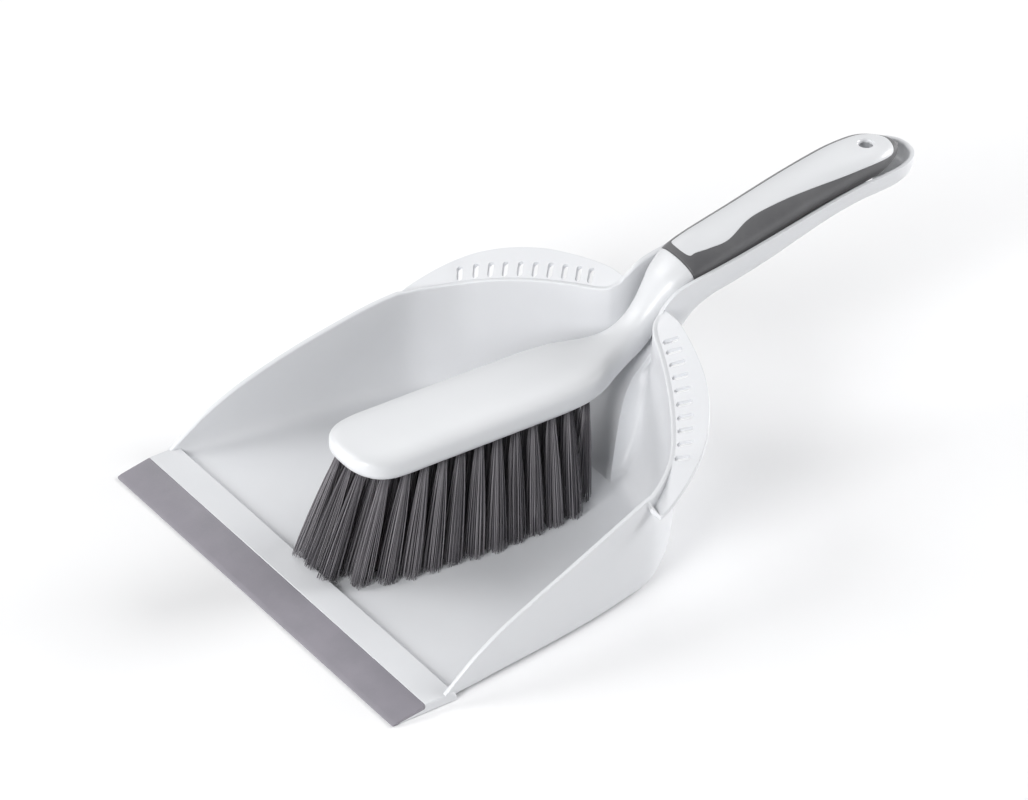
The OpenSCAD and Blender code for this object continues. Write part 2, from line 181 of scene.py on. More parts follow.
# Inner rim x, y, z, then the wall's foot x, y, z, then how square the foot is, from the front to the
# handle's tip
PAN_ROWS = [
    [HALF, 27.5, 5, HALF - 3, 27.5, FLOOR_Z, 3],
    [HALF - 0.6, 36, 11.5, 98, 36, FLOOR_Z, 4],
    [HALF - 1.2, 46, 18.5, 95, 46, FLOOR_Z, 5],
    [HALF - 2.2, 60, 26, 93.6, 60, FLOOR_Z, 5],
    [HALF - 3.4, 76, 32.5, 92, 76, FLOOR_Z, 5],
    [HALF - 5.2, 94, 38.8, 90, 94, FLOOR_Z, 5],
    [HALF - 7.6, 112, 44.5, 87.6, 112, FLOOR_Z, 5],
    [HALF - 10.4, 130, 49.8, 84.4, 128, FLOOR_Z, 4.6],
    [93.6, 146, 53.4, 81.6, 143, FLOOR_Z, 4.4],
    [87.4, 157.2, 55.5, 76.8, 152.6, FLOOR_Z, 4],
    [79.3, 167, 58.4, 69.4, 160, FLOOR_Z, 3.6],
    [69, 174.9, 62.5, 60.2, 165.2, FLOOR_Z, 3.3],
    [57.2, 182.3, 66.5, 49.6, 168.6, FLOOR_Z, 3],
    [44.5, 189, 70.1, 38.6, 171.4, FLOOR_Z, 2.8],
    [31.8, 194.8, 73.2, 28.4, 174.4, FLOOR_Z, 2.6],
    [22.4, 198.6, 75.2, 20.6, 177.6, FLOOR_Z, 2.4],
    [17, 202, 77.1, 15.4, 182, 8, 2.1],
    [14.8, 205.5, 79, 12.4, 187, 24, 1.9],
    [13.8, 209, 81.2, 10.6, 191.6, 37, 1.9],
    [13.4, 212, 83.4, 9.4, 196.4, 44.4, 2],
    [13.3, 215, 85.4, 8.6, 202, 48.8, 2.1],
    [13.3, 218.5, 87, 8, 208.2, 54, 2.3],
    [13.3, 223, 88.2, 7.6, 215, 62.5, 2.5],
    [13.3, 229, 89.2, 7.2, 223, 70.6, 2.7],
    [13.3, 238, 90.4, 6.8, 234, 75.8, 2.8],
    [13.3, 251, 92.4, 6.6, 251, 78.8, 2.8],
    [13.4, 268, 95.6, 6.6, 268, 82.8, 2.8],
    [13.5, 285, 99, 6.6, 285, 88, 2.8],
    [13.7, 302, 102.4, 6.6, 302, 93, 2.8],
    [13.8, 318, 104.8, 6.5, 318, 95.9, 2.8],
    [13.6, 331, 105.6, 6, 331, 96.3, 2.8],
    [12.6, 340, 105.7, 5, 338, 96.4, 2.8],
    [9.6, 347.5, 105.6, 3.6, 341.5, 96.4, 2.8],
    [5.2, 351.6, 105.5, 1.9, 343.2, 96.4, 2.8],
    [0, 352.8, 105.5, 0, 343.6, 96.4, 2.8],
]
PAN_LAST = len(PAN_ROWS) - 1
# Pan rows where the flat rear rim starts and ends, and over how many rows it grows and fades
RIM_START, RIM_END, RIM_GROW, RIM_FADE = 7.75, 17.9, 0.25, 0.5
# Outer edge of the flat rear rim, as x and y in plan, and the pan row beside each of its points
RIM_EDGE = [
    [15, 210], [26, 209.6], [38, 207], [51, 203], [63.5, 198], [77, 190], [87.5, 181],
    [94.5, 171.5], [99.4, 161], [102.4, 150], [101.5, 144], [96, 141.5],
]
EDGE_ROWS = [RIM_START, 8, 9, 10, 11, 12, 13, 14, 15, 16, 17, RIM_END]
EDGE_AT = [11, 9.6, 7.9, 6.5, 5.3, 4.15, 3.05, 2.05, 1.05, 0.35, 0.1, 0]
# The rim lies in one plane that passes through this y and z and climbs towards the handle
RIM_SLOPE = 0.535
RIM_Y, RIM_Z = 198, 74.1
SLOT_COUNT, SLOT_WIDTH, SLOT_LENGTH, SLOT_START = 10, 2.8, 8, WALL + 0.1
# Pan row of the first slot, and the rows from the first to the last
SLOT_ROW, SLOT_ROWS = 9.75, 4.55
# How far the slot cutters reach below and above the rim's top
SLOT_BELOW, SLOT_ABOVE = -6, 3
# The slots lean towards one direction in plan
SLOT_WAY = (0.85, 0.53)


def pan_at(t):
    return mixed(PAN_ROWS, t)


def rim_out(t):
    """The rim's outward direction in plan."""
    a = pan_at(np.maximum(np.asarray(t) - 0.12, 0))
    b = pan_at(np.minimum(np.asarray(t) + 0.12, PAN_LAST))
    d = unit(b[:, :2] - a[:, :2])
    out = np.stack([d[:, 1], -d[:, 0]], 1)
    t = np.atleast_1d(t)
    out[t <= 0] = [1, 0]
    out[t >= PAN_LAST] = [0, 1]
    return out


def rim_plane(y):
    return RIM_Z + RIM_SLOPE * (y - RIM_Y)


def pan_sections(t):
    """The half sections of the pan at stations t, as an array of station x point x 3."""
    q, n = pan_at(t), rim_out(t)
    rim, foot, p = q[:, 0:3], q[:, 3:6].copy(), q[:, 6:7]
    foot[:, 2] = np.maximum(foot[:, 2], FLOOR_Z)
    fa, fb = pan_at(np.maximum(t - 0.25, 0)), pan_at(np.minimum(t + 0.25, PAN_LAST))
    rise = np.maximum(fb[:, 5], FLOOR_Z) - np.maximum(fa[:, 5], FLOOR_Z)
    rise[t >= PAN_LAST] = 0
    along = unit(np.stack([np.maximum(fb[:, 4] - fa[:, 4], 0.05), rise], 1))
    low = foot + WALL * np.stack([np.zeros(len(t)), along[:, 1], -along[:, 0]], 1)
    has_rim = np.clip((t - RIM_START) / RIM_GROW, 0, 1) * np.clip((RIM_END - t) / RIM_FADE, 0, 1)
    has_rim = (has_rim * has_rim * (3 - 2 * has_rim))[:, None]
    outward = np.concatenate([n, np.zeros((len(t), 1))], 1)
    top_in = rim.copy()
    plane_in = rim_plane(rim[:, 1:2])
    top_in[:, 2:3] += has_rim * (np.maximum(plane_in, rim[:, 2:3] - 0.9) - rim[:, 2:3])
    top_out = top_in + outward * WALL
    edge = np.zeros_like(rim)
    edge[:, :2] = mixed(RIM_EDGE, np.interp(t, EDGE_ROWS, EDGE_AT))
    edge = top_out + has_rim * (edge - top_out)
    plate_top = top_out.copy()
    plate_top[:, 2:3] = top_out[:, 2:3] + has_rim * (
        np.minimum(rim_plane(top_out[:, 1:2]), top_out[:, 2:3]) - top_out[:, 2:3])
    edge[:, 2:3] = plate_top[:, 2:3] + has_rim * (rim_plane(edge[:, 1:2]) - plate_top[:, 2:3])
    drop = np.array([0, 0, WALL * math.hypot(1, RIM_SLOPE)])
    edge_low = edge - drop
    # where the outer wall meets the underside of the rim
    height = plate_top[:, 2:3] - drop[2]
    v6 = np.clip((height - low[:, 2:3]) / (rim[:, 2:3] - low[:, 2:3]), 0.02, 0.97)
    h6 = (1 - (1 - v6) ** p) ** (1 / p)
    outer_rim = rim + outward * WALL
    join = low + (outer_rim - low) * np.concatenate([h6, h6, v6], 1)
    theta6 = np.degrees(np.arccos(np.clip((1 - v6) ** (p / 2), 0, 1)))

    def inner(theta):
        h, v = np.sin(np.radians(theta)) ** (2 / p), 1 - np.cos(np.radians(theta)) ** (2 / p)
        return foot + (top_in - foot) * np.concatenate([h, h, v], 1)

    def outer(theta):
        c = np.clip(np.cos(np.radians(theta)), 0, 1)
        h, v = np.sin(np.radians(theta)) ** (2 / p), 1 - c ** (2 / p)
        return low + (outer_rim - low) * np.concatenate([h, h, v], 1)

    columns = [foot * [f, 1, 1] for f in (0, 0.2, 0.4, 0.6, 0.8, 0.92)]
    thetas = (0, 1, 3, 6, 10, 15, 21, 28, 36, 44, 52, 60, 68, 75, 80)
    columns += [inner(np.full_like(p, th)) for th in thetas]
    corners = [columns[-1], top_in, top_out, plate_top, edge, edge_low, join,
               outer(theta6 * 0.93)]
    bends = rounded(corners, [0, 0.95, 0.95, 0.5, 0.9, 0.9, 1.6, 0], 4)
    columns += bends[1:-1]
    columns += [outer(theta6 * f) for f in np.linspace(0.93, 0, 14)]
    columns += [low * [f, 1, 1] for f in (0.92, 0.6, 0.3, 0)]
    return np.stack(columns, 1)


def pan_shell():
    t = np.linspace(0, PAN_LAST, PAN_LAST * 7 + 1)
    right = pan_sections(t)
    rows, cols = right.shape[:2]
    left = right * [-1, 1, 1]
    points = np.concatenate([right.reshape(-1, 3), left.reshape(-1, 3)])
    count = rows * cols
    faces = grid_faces(rows, cols) + [f[::-1] for f in grid_faces(rows, cols, count)]
    faces.append(tuple(range(cols)))
    faces.append(tuple(range(count + cols - 1, count - 1, -1)))
    return new_mesh("pan_moulding", points, faces, 2e-6)


def prism(name, profile, half_width, inset, edge=0.5):
    """A long bar across the pan: its y-z profile has small rounded corners and its ends are eased."""
    shape = rounded_loop(profile, edge, 4)
    centre = shape.mean(0)
    right_end = [(half_width - inset, 0), (half_width, inset)]
    stations = [(-x, shrink) for x, shrink in right_end[::-1]] + right_end
    rings = []
    for x, shrink in stations:
        d = shape - centre
        scaled = centre + d * (1 - shrink / np.maximum(np.abs(d).max(0), 1e-6))
        rings.append(np.column_stack([np.full(len(shape), x), scaled]))
    points = np.concatenate(rings)
    m = len(shape)
    faces = grid_faces(len(stations), m, wrap=True)
    faces.append(tuple(range(m)))
    faces.append(tuple(range(len(points) - 1, len(points) - m - 1, -1)))
    return new_mesh(name, points, faces)


def rounded_loop(profile, radius, steps):
    """A closed outline with each corner turned into a short curve."""
    pts = np.asarray(profile, float)
    out = []
    for k, p in enumerate(pts):
        a, b = pts[k - 1] - p, pts[(k + 1) % len(pts)] - p
        pa = p + a * min(radius / np.linalg.norm(a), 0.45)
        pb = p + b * min(radius / np.linalg.norm(b), 0.45)
        for f in np.linspace(0, 1, steps):
            out.append((1 - f) ** 2 * pa + 2 * f * (1 - f) * p + f ** 2 * pb)
    return np.array(out)


def threshold_bar():
    top = LIP_HEIGHT + 0.1
    profile = [
        [3.5, 0.05], [33.5, 0.05], [33.5, WALL + 0.1], [32, top], [LIP_DEPTH, top],
        [LIP_DEPTH, 2.7], [3.5, 0.6],
    ]
    return prism("threshold", profile, LIP_WIDTH / 2 - 0.08, 0.4, 0.4)


def slot_cutters():
    """Capsule-shaped cutters that pass through the tilted rim, ten on each side."""
    t = SLOT_ROW + SLOT_ROWS * np.arange(SLOT_COUNT) / (SLOT_COUNT - 1)
    q, n = pan_at(t), rim_out(t)
    tilt = math.atan(RIM_SLOPE)
    up = np.array([0, -math.sin(tilt), math.cos(tilt)])
    arcs = np.radians(np.linspace(90, 270, 9))
    r = SLOT_WIDTH / 2
    shape = [(r + r * math.cos(a), r * math.sin(a)) for a in arcs]
    shape += [(SLOT_LENGTH - r - r * math.cos(a), -r * math.sin(a)) for a in arcs]
    points, faces = [], []
    for k in range(SLOT_COUNT):
        way = unit((0.4 * n[k] + 0.6 * np.array(SLOT_WAY))[None])[0]
        start = q[k, :2] + n[k] * (SLOT_START + SLOT_LENGTH / 2) - way * SLOT_LENGTH / 2
        base = np.array([start[0], start[1], rim_plane(start[1])])
        along = np.array([way[0], way[1], RIM_SLOPE * way[1]])
        along /= np.linalg.norm(along)
        across = np.cross(up, along)
        for side in (1, -1):
            first = len(points)
            for lift in (SLOT_BELOW, SLOT_ABOVE):
                for u, v in shape:
                    p = base + along * u + across * v + up * lift
                    points.append(p * [side, 1, 1])
            m = len(shape)
            ring = grid_faces(2, m, first, wrap=True)
            ring += [tuple(range(first, first + m)), tuple(range(first + 2 * m - 1, first + m - 1, -1))]
            faces += ring if side > 0 else [f[::-1] for f in ring]
    return new_mesh("slots", points, faces)


def round_cutter(name, y, profile, steps=40):
    """An upright turned cutter from radius and height pairs."""
    a = np.linspace(0, 2 * math.pi, steps, endpoint=False)
    rings = [np.column_stack([r * np.cos(a), y + r * np.sin(a), np.full(steps, z)]) for r, z in profile]
    points = np.concatenate(rings)
    faces = grid_faces(len(rings), steps, wrap=True)
    faces.append(tuple(range(steps)))
    faces.append(tuple(range(len(points) - 1, len(points) - steps - 1, -1)))
    return new_mesh(name, points, faces)


def make_pan():
    pan = pan_shell()
    boolean(pan, [threshold_bar()], "UNION")
    profile = [(PAN_HOLE_R, 88), (PAN_HOLE_R, 96.0), (4.3, 96.6), (4.3, 100)]
    hole = round_cutter("pan_hole", HANG_HOLE_Y, profile)
    boolean(pan, [slot_cutters(), hole], "DIFFERENCE")
    return pan


def make_lip():
    profile = [
        [0, 0], [3.4, 0], [3.45, 0.55], [LIP_DEPTH - 0.05, 2.62], [LIP_DEPTH - 0.05, LIP_HEIGHT],
        [1.9, 1.45], [0.1, 0.62],
    ]
    return prism("soft_lip", profile, LIP_WIDTH / 2, 0.5, 0.35)


# ---- brush ----

BLOCK_HALF = 20.5
GRIP_SKIN = 1.6
# Top y, z, bottom y, z, half width, height of the widest line, squareness, from the nose to the
# handle's tip
BRUSH_ROWS = [
    [47.3, 59.6, 47.3, 55.4, BLOCK_HALF - 14.6, 0.5, 2.6],
    [48.4, 61.3, 48.4, 53.6, BLOCK_HALF - 10.2, 0.5, 3],
    [51.6, 62.6, 51.6, 51.7, BLOCK_HALF - 5.2, 0.5, 3.4],
    [57.4, 63.3, 57.4, 49.7, BLOCK_HALF - 1.5, 0.5, 3.6],
    [66.5, 63.5, 66.5, 48.4, BLOCK_HALF, 0.5, 3.8],
    [85, 63.3, 85, 47.8, BLOCK_HALF, 0.5, 3.8],
    [110, 62.8, 110, 47.2, BLOCK_HALF, 0.5, 3.8],
    [135, 62, 135, 46.8, BLOCK_HALF, 0.5, 3.8],
    [155, 61.4, 155, 46.4, BLOCK_HALF - 0.2, 0.5, 3.8],
    [168, 61.2, 168, 46.4, BLOCK_HALF - 1.3, 0.5, 3.6],
    [177, 61.5, 178, 46.9, BLOCK_HALF - 4.2, 0.5, 3.2],
    [184, 62.4, 187, 48.2, 12.4, 0.5, 2.8],
    [191, 64.2, 196, 50.2, 9.4, 0.5, 2.6],
    [198, 67.4, 204, 53.4, 8, 0.5, 2.5],
    [204, 72, 210, 58.6, 7.8, 0.5, 2.5],
    [209, 77.8, 215, 64.8, 8.3, 0.52, 2.4],
    [213.5, 84, 219.5, 70.4, 9.6, 0.54, 2.3],
    [218, 89.4, 223.5, 74.4, 11.2, 0.57, 2.2],
    [225.5, 94.9, 230.8, 78.7, 12.5, 0.61, 2.2],
    [231.5, 97.4, 235.8, 80.3, 12.8, 0.63, 2.2],
    [238.5, 99.5, 242, 81.6, 12.8, 0.64, 2.2],
    [248, 101.6, 251, 83, 12.8, 0.66, 2.2],
    [262, 104.6, 263, 85.4, 12.8, 0.67, 2.2],
    [278, 108.3, 278, 89.4, 12.8, 0.67, 2.2],
    [292, 111.4, 292, 93, 12.8, 0.66, 2.2],
    [306, 113.5, 306, 96.2, 13, 0.66, 2.3],
    [318, 114.4, 318, 98.6, 12.8, 0.68, 2.7],
    [330, 114.4, 330, 100.2, 12.2, 0.7, 2.8],
    [336.5, 113.9, 336.5, 101.2, 10.4, 0.68, 2.6],
    [341.6, 112.8, 341.4, 102.6, 7.8, 0.62, 2.3],
    [345.4, 111.2, 345.1, 104.2, 5.1, 0.58, 2.1],
    [347.3, 109.2, 347.1, 106.6, 2.4, 0.5, 2],
]
BRUSH_LAST = len(BRUSH_ROWS) - 1
# The row where the white neck ends and the soft grip begins
COLLAR = 18
INLAY_FIRST, INLAY_LAST = 18.5, 29.3
# Right edge of the inlay, as an angle round the handle at each row from the wave's first row back
WAVE_FIRST = 19
INLAY_ANGLES = [62, 50, 42, 62, 56, 42, 28, 16, 9, 6, 5, 5]
INLAY_LEFT = 48
# Rows over which the inlay's front and back ends round off
ROUND_FRONT, ROUND_BACK = 0.3, 1.1
# Width of the eased edge along the seam, and the steps that it is drawn in
SEAM = 0.28
SEAM_STEPS = [0, 0.08, 0.2, 0.4, 0.7, 1.0]


def ring_points(t, phi, depth):
    """Points round the brush at stations t and angles phi, sunk below the outer skin by depth."""
    q = mixed(BRUSH_ROWS, t)
    zero = np.zeros(len(q))
    top, low = np.stack([zero, q[:, 0], q[:, 1]], 1), np.stack([zero, q[:, 2], q[:, 3]], 1)
    mid = low + (top - low) * q[:, 5:6]
    power = (2 / q[:, 6])[:, None]
    c, s = np.cos(np.radians(phi)), np.sin(np.radians(phi))
    c, s = np.sign(c) * np.abs(c) ** power, np.sign(s) * np.abs(s) ** power
    above, below = top - mid, mid - low
    up = np.where((s > 0)[..., None], above[:, None], below[:, None])
    reach = np.linalg.norm(up, axis=2)
    shrunk = np.maximum(reach - depth, 0.4) / reach
    half = np.maximum(q[:, 4:5] - depth, 0.4)
    points = mid[:, None] + up * (s * shrunk)[..., None]
    points[..., 0] += half * c
    return points


def inlay_edges(t):
    """The inlay's right and left edges at each station: 90 degrees where the grip closes over the top."""
    base = mixed(np.array(INLAY_ANGLES)[:, None], np.clip(t - WAVE_FIRST, 0, len(INLAY_ANGLES) - 1))[:, 0]
    front = np.clip((t - INLAY_FIRST) / ROUND_FRONT, 0, 1)
    back = np.clip((INLAY_LAST - t) / ROUND_BACK, 0, 1)
    opening = np.sqrt(1 - (1 - front) ** 2) * np.sqrt(1 - (1 - back) ** 2)
    return 90 - (90 - base) * opening, 90 - (90 - INLAY_LEFT) * opening


def full_rings(stations, depths, n, tip):
    """A closed form of whole rings along the brush."""
    phi = np.tile(np.linspace(0, 360, n, endpoint=False), (len(stations), 1))
    rings = ring_points(stations, phi, np.asarray(depths, float)[:, None])
    first_mid, last_mid = rings[0].mean(0) - [0, 0.5, 0], rings[-1].mean(0) + [0, tip, 0]
    points = np.concatenate([rings.reshape(-1, 3), [first_mid, last_mid]])
    count = len(stations) * n
    faces = grid_faces(len(stations), n, wrap=True)
    for k in range(n):
        faces.append((k, (k + 1) % n, count))
        faces.append((count - n + (k + 1) % n, count - n + k, count + 1))
    return points, faces


def edge_spread(t, edge, reach):
    """Angle that a distance in mm takes round the handle at the edge of the inlay."""
    a = ring_points(t, edge[:, None], np.zeros((len(t), 1)))[:, 0]
    b = ring_points(t, edge[:, None] + 0.5, np.zeros((len(t), 1)))[:, 0]
    per_degree = np.linalg.norm(a - b, axis=1) / 0.5
    return reach / np.maximum(per_degree, 0.02)


def window_stations():
    """Stations along the inlay, closer together where its ends round off."""
    front = INLAY_FIRST + ROUND_FRONT * (1 - np.cos(np.radians(np.linspace(3, 90, 10))))
    middle = np.linspace(INLAY_FIRST + ROUND_FRONT + 0.06, INLAY_LAST - ROUND_BACK - 0.06, 72)
    back = INLAY_LAST - ROUND_BACK * (1 - np.cos(np.radians(np.linspace(90, 2, 18))))
    return np.concatenate([front, middle, back])


def seam_depth(a):
    """Depth of the eased edge at a distance a from the seam."""
    a = np.clip(a / SEAM, 0, 1)
    return SEAM * (1 - np.sqrt(1 - (1 - a) ** 2))


def make_inlay():
    """The white island on top of the handle, standing on the core."""
    t = window_stations()
    edge_r, edge_l = inlay_edges(t)
    width = 180 - edge_r - edge_l
    spread_r = np.minimum(edge_spread(t, edge_r, SEAM), width * 0.12)
    spread_l = np.minimum(edge_spread(t, edge_l, SEAM), width * 0.12)
    right = [edge_r + spread_r * s for s in SEAM_STEPS]
    left = [180 - edge_l - spread_l * s for s in SEAM_STEPS]
    eased = [seam_depth(np.full(len(t), s * SEAM)) for s in SEAM_STEPS]
    middle = [right[-1] + (left[-1] - right[-1]) * f for f in np.linspace(0, 1, 26)[1:-1]]
    phis = right + middle + left[::-1]
    depths = eased + [np.zeros(len(t))] * len(middle) + eased[::-1]
    sunk = np.full(len(t), GRIP_SKIN + 0.12)
    phis = [edge_r] + phis + [180 - edge_l]
    depths = [sunk] + depths + [sunk]
    phi, depth = np.stack(phis, 1), np.stack(depths, 1)
    rings = ring_points(t, phi, depth)
    rows, cols = phi.shape
    faces = grid_faces(rows, cols, wrap=True)
    faces += [tuple(range(cols)), tuple(range(rows * cols - 1, rows * cols - cols - 1, -1))]
    return rings.reshape(-1, 3), faces


def make_brush_moulding():
    n = 112
    body = np.concatenate([np.linspace(0, 2, 17), np.linspace(2, COLLAR - 0.09, 110)[1:],
                           COLLAR - 0.09 * (1 - np.sin(np.radians([18, 36, 54, 72, 90])))])
    depths = [0] * (len(body) - 5) + [0.03, 0.08, 0.15, 0.28, 0.5]
    core = np.linspace(COLLAR + 0.01, BRUSH_LAST, 80)
    stations = np.concatenate([body, core])
    depths += [GRIP_SKIN + 0.06] * len(core)
    points, faces = full_rings(stations, depths, n, 0.1)
    moulding = new_mesh("brush_moulding", points, faces, 1e-6, 50)
    inlay = new_mesh("inlay", *make_inlay(), 1e-6, 50)
    for part in (moulding, inlay):
        bore = round_cutter("bore", HANG_HOLE_Y, [(HANG_HOLE_R, 90), (HANG_HOLE_R, 113.4), (3.5, 113.9),
                                                  (4.0, 114.4), (4.0, 120)])
        boolean(part, [bore], "DIFFERENCE")
    return joined(moulding, inlay)


def make_grip():
    """The soft overmould: an open sock round the handle with eased edges beside the inlay."""
    lead = COLLAR + 0.03 + 0.08 * (1 - np.cos(np.radians(np.linspace(0, 90, 5))))
    before = np.linspace(COLLAR + 0.13, INLAY_FIRST - 0.01, 10)
    window = window_stations()
    after = np.linspace(INLAY_LAST + 0.01, BRUSH_LAST, 14)
    t = np.concatenate([lead, before, window, after])
    edge_r, edge_l = inlay_edges(t)
    opened = edge_r < 89.95
    most = (180 - edge_r - edge_l) * 0.2 + 0.01
    spread_r = np.where(opened, np.minimum(edge_spread(t, np.minimum(edge_r, 89), SEAM), most), 0)
    spread_l = np.where(opened, np.minimum(edge_spread(t, np.minimum(edge_l, 89), SEAM), most), 0)
    right = [360 + edge_r - spread_r * s for s in SEAM_STEPS]
    left = [180 - edge_l + spread_l * s for s in SEAM_STEPS]
    start, stop = left[-1], right[-1]
    middle = [start + (stop - start) * f for f in np.linspace(0, 1, 84)[1:-1]]
    phi = np.stack(left + middle + right[::-1], 1)
    eased = [np.where(opened, seam_depth(np.full(len(t), s * SEAM)), 0) for s in SEAM_STEPS]
    depth = np.stack(eased + [np.zeros(len(t))] * len(middle) + eased[::-1], 1)
    mouth = np.zeros(len(t))
    mouth[:5] = 0.34 * (1 - np.sin(np.radians(np.linspace(0, 90, 5)))) ** 1.4
    depth = depth + mouth[:, None]
    outer = ring_points(t, phi, depth)
    inner = ring_points(t, phi, np.full_like(phi, GRIP_SKIN - 0.02))
    rows, cols = phi.shape
    count = rows * cols
    points = np.concatenate([outer.reshape(-1, 3), inner.reshape(-1, 3)])
    faces = grid_faces(rows, cols) + [f[::-1] for f in grid_faces(rows, cols, count)]
    for i in range(rows - 1):
        if opened[i] or opened[i + 1]:
            for j in (0, cols - 1):
                a, b = i * cols + j, (i + 1) * cols + j
                side = (a, b, b + count, a + count)
                faces.append(side if j == 0 else side[::-1])
    for j in range(cols - 1):
        faces.append((j + 1, j, j + count, j + 1 + count))
    tip_out, tip_in = outer[-1].mean(0) + [0, 1.2, 0], inner[-1].mean(0) + [0, 0.2, 0]
    tip = len(points)
    last = count - cols
    middle_ring = (outer[-1] - outer[-1].mean(0)) * 0.6 + outer[-1].mean(0) + [0, 0.95, 0]
    points = np.concatenate([points, [tip_out, tip_in], middle_ring])
    for j in range(cols - 1):
        faces.append((last + j, last + j + 1, tip + 3 + j, tip + 2 + j))
        faces.append((tip + 2 + j, tip + 3 + j, tip))
        faces.append((last + count + j + 1, last + count + j, tip + 1))
    obj = new_mesh("soft_grip", points, faces, 1e-6, 50)
    r = HANG_HOLE_R + 0.4
    bore = round_cutter("bore", HANG_HOLE_Y, [(r + 0.6, 90), (r + 0.6, 100.4), (r, 101.2), (r, 120)])
    boolean(obj, [bore], "DIFFERENCE")
    return obj


# ---- bristles ----

ROW_COUNT, ROW_FIRST, ROW_PITCH = 13, 52.2, 9.6
# Filaments in a tuft, and the radius of one
FILAMENTS, FILAMENT_R = 74, 0.21
TUFT_ROOT_R, TUFT_TIP_R = 1.65, 4.6
# Filaments that end in front of this line rest on the threshold strip
THRESHOLD_BACK = 34.2


def row_y(i):
    return ROW_FIRST + (i - 1) * ROW_PITCH


def row_layout(i):
    """Root height, half widths at the block and on the floor, and the tips' y, for row i."""
    y = row_y(i)
    low = np.interp(y, [47, 51.6, 57.4, 66.5, 85, 110, 135, 168],
                    [53.6, 51.7, 49.7, 48.4, 47.8, 47.2, 46.8, 46.4])
    root = np.interp(y, [50, 54, 62, 71, 152, 169], [8, 8.4, 13.4, 15.6, 15.8, 14.8])
    tip = np.interp(y, [52.2, 61.8, 71.4, 81, 100, 119, 150, 158, 167.4],
                    [10, 19.5, 24.5, 27, 29.2, 31.8, 32, 31, 22.5])
    sweep = np.interp(y, [52.2, 167.4], [19.2, 7.8])
    return low, root, tip, y - sweep


def tuft(root, tip):
    """Filaments of one tuft, as points, faces and a shade per point."""
    n, rings = FILAMENTS, 6
    u = np.sqrt((np.arange(n) + 0.5) / n)
    angle = np.arange(n) * 2.39996 + rng.uniform(0, 6.28)
    disc = np.stack([u * np.cos(angle), u * np.sin(angle), np.zeros(n)], 1)
    axis = unit((tip - root)[None])[0]
    start = root - axis * 1.2 + disc * TUFT_ROOT_R
    jitter = rng.normal(0, 0.32, (n, 3)) * [1, 1, 0]
    end = tip + disc * TUFT_TIP_R + jitter
    end[:, 2] = FLOOR_Z + 0.12 + rng.gamma(2.0, 0.28, n)
    on_threshold = end[:, 1] < THRESHOLD_BACK
    end[on_threshold, 2] += LIP_HEIGHT + 0.2 - FLOOR_Z
    bow = (disc * 1.5 + rng.normal(0, 0.28, (n, 3))) * [1, 1, 0]
    f = np.linspace(0, 1, rings)
    line = start[:, None] + (end - start)[:, None] * f[None, :, None]
    line += bow[:, None] * (f * (1 - f) * 1.6)[None, :, None]
    side_a = unit(np.cross(end - start, [0.0, 1.0, 0.2]))
    side_b = unit(np.cross(end - start, side_a))
    twist = rng.uniform(0, math.pi / 2, n)
    corners = []
    for k in range(4):
        a = twist + k * math.pi / 2
        corners.append(side_a * np.cos(a)[:, None] + side_b * np.sin(a)[:, None])
    corners = np.stack(corners, 1)
    thick = FILAMENT_R * rng.uniform(0.88, 1.12, n)
    taper = np.array([1, 1, 1, 1, 0.97, 0.8])
    points = line[:, :, None] + corners[:, None] * (thick[:, None] * taper)[:, :, None, None]
    shade = np.repeat(rng.uniform(0, 1, n), rings * 4)
    faces = []
    for k in range(n):
        first = k * rings * 4
        faces += grid_faces(rings, 4, first, wrap=True)
        faces.append((first + 3, first + 2, first + 1, first))
        e = first + (rings - 1) * 4
        faces.append((e, e + 1, e + 2, e + 3))
    return points.reshape(-1, 3), faces, shade


def make_bristle_row(i):
    low, root_half, tip_half, tip_y = row_layout(i)
    count = 3 if root_half < 12 else 5
    points, faces, shades = [], [], []
    total = 0
    for share in np.linspace(-1, 1, count):
        root = np.array([root_half * share, row_y(i), low])
        tip = np.array([tip_half * share, tip_y, FLOOR_Z + 0.7])
        p, f, s = tuft(root, tip)
        faces += [tuple(v + total for v in face) for face in f]
        total += len(p)
        points.append(p)
        shades.append(s)
    mesh = bpy.data.meshes.new(f"bristles_{i:02d}")
    mesh.from_pydata(placed(np.concatenate(points)).tolist(), [], faces)
    mesh.attributes.new("shade", "FLOAT", "POINT").data.foreach_set(
        "value", np.concatenate(shades).astype(np.float32))
    mesh.shade_smooth()
    obj = bpy.data.objects.new(mesh.name, mesh)
    bpy.context.scene.collection.objects.link(obj)
    return obj


# ---- materials ----

def material(name):
    m = bpy.data.materials.new(name)
    m.use_nodes = True
    tree = m.node_tree
    return m, tree, tree.nodes["Principled BSDF"]


def node(tree, kind, **settings):
    made = tree.nodes.new(kind)
    for key, value in settings.items():
        if key in made.inputs:
            made.inputs[key].default_value = value
        else:
            setattr(made, key, value)
    return made


def noise(tree, scale, detail=3.0, roughness=0.55):
    coords = tree.nodes.new("ShaderNodeTexCoord")
    made = node(tree, "ShaderNodeTexNoise", Scale=scale, Detail=detail, Roughness=roughness)
    tree.links.new(coords.outputs["Object"], made.inputs["Vector"])
    return made.outputs["Fac"]


def ramp(tree, source, stops):
    made = tree.nodes.new("ShaderNodeValToRGB")
    elements = made.color_ramp.elements
    for k, (place, colour) in enumerate(stops):
        e = elements[k] if k < 2 else elements.new(place)
        e.position, e.color = place, (*colour, 1)
    tree.links.new(source, made.inputs["Fac"])
    return made.outputs["Color"]


def span(tree, source, low, high, from_low=0.3, from_high=0.7):
    made = tree.nodes.new("ShaderNodeMapRange")
    for key, value in (("From Min", from_low), ("From Max", from_high), ("To Min", low), ("To Max", high)):
        made.inputs[key].default_value = value
    tree.links.new(source, made.inputs["Value"])
    return made.outputs["Result"]


